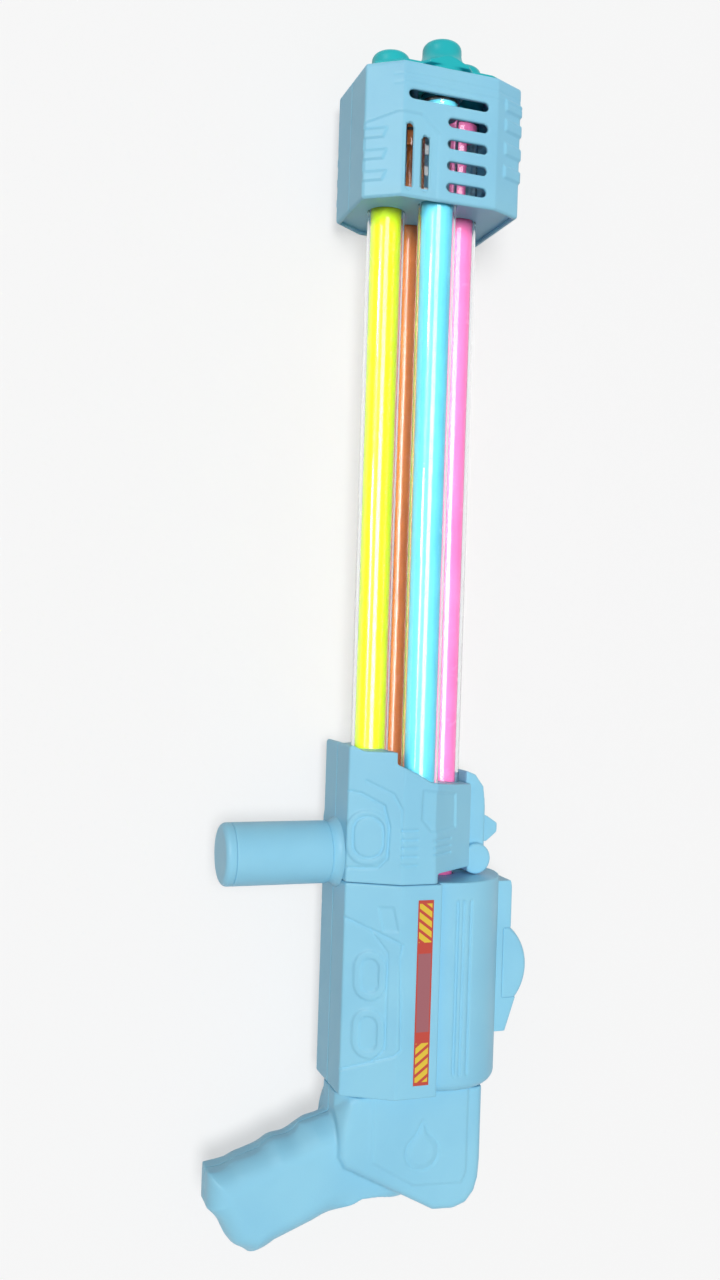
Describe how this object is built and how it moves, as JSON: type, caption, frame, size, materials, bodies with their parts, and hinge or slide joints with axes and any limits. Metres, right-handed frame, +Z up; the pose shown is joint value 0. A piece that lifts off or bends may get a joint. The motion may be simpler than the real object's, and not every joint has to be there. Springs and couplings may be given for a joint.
{
  "type": "water squirter",
  "caption": "Hand-held pull-and-push toy water squirter with clear side-by-side barrels, a slotted head, a side handle and a pistol grip, lying on its side.",
  "frame": {"origin": "on the resting surface, under the middle of the whole object's box, pump pushed home", "axes": "+Y to the nozzles, +X to the sights (the squirter's own up), +Z up, to the squirter's left side, because it lies on its right side"},
  "size_m": [0.1608, 0.5768, 0.062],
  "materials": {
    "body_blue": "satin moulded light blue plastic",
    "nozzle_teal": "satin teal plastic",
    "barrel_clear": "clear glossy tube",
    "rod_lime": "glossy lime",
    "rod_orange": "glossy orange",
    "rod_blue": "glossy blue",
    "rod_pink": "glossy pink",
    "seal_rubber": "black rubber",
    "inner_white": "natural white plastic",
    "screw_steel": "zinc-plated",
    "label_print": "red film with yellow stripes"
  },
  "bodies": {
    "front": {"head_shell_left": "body_blue", "head_shell_right": "body_blue", "head_bulkhead": "body_blue", "nozzle_cap": "nozzle_teal", "nozzle_seals": "seal_rubber", "barrel_lime": "barrel_clear", "barrel_orange": "barrel_clear", "barrel_blue": "barrel_clear", "barrel_pink": "barrel_clear", "barrel_bushes": "inner_white", "front_body_left": "body_blue", "front_body_right": "body_blue", "front_bulkhead": "body_blue", "top_rail": "body_blue", "front_sight": "body_blue", "side_handle_grip": "body_blue", "side_handle_collar": "body_blue", "side_handle_cap": "body_blue", "side_handle_screw": "screw_steel", "head_screws": "screw_steel", "front_body_screws": "screw_steel"},
    "rear": {"mid_body_left": "body_blue", "mid_body_right": "body_blue", "drum_cover_left": "body_blue", "drum_cover_right": "body_blue", "sight_base": "body_blue", "sight_dome": "body_blue", "rear_body_left": "body_blue", "rear_body_right": "body_blue", "piston_seals": "seal_rubber", "rod_yoke": "inner_white", "label_left": "label_print", "label_right": "label_print", "plunger_lime": "rod_lime", "plunger_orange": "rod_orange", "plunger_blue": "rod_blue", "plunger_pink": "rod_pink", "mid_body_screws": "screw_steel", "drum_screws": "screw_steel", "rear_body_screws": "screw_steel", "rod_end_screws": "screw_steel"}
  },
  "joints": [
    {"name": "pump_slide", "type": "slide", "parent": "front", "child": "rear", "axis": [0, -1, 0], "range_m": [0, 0.3382]}
  ]
}
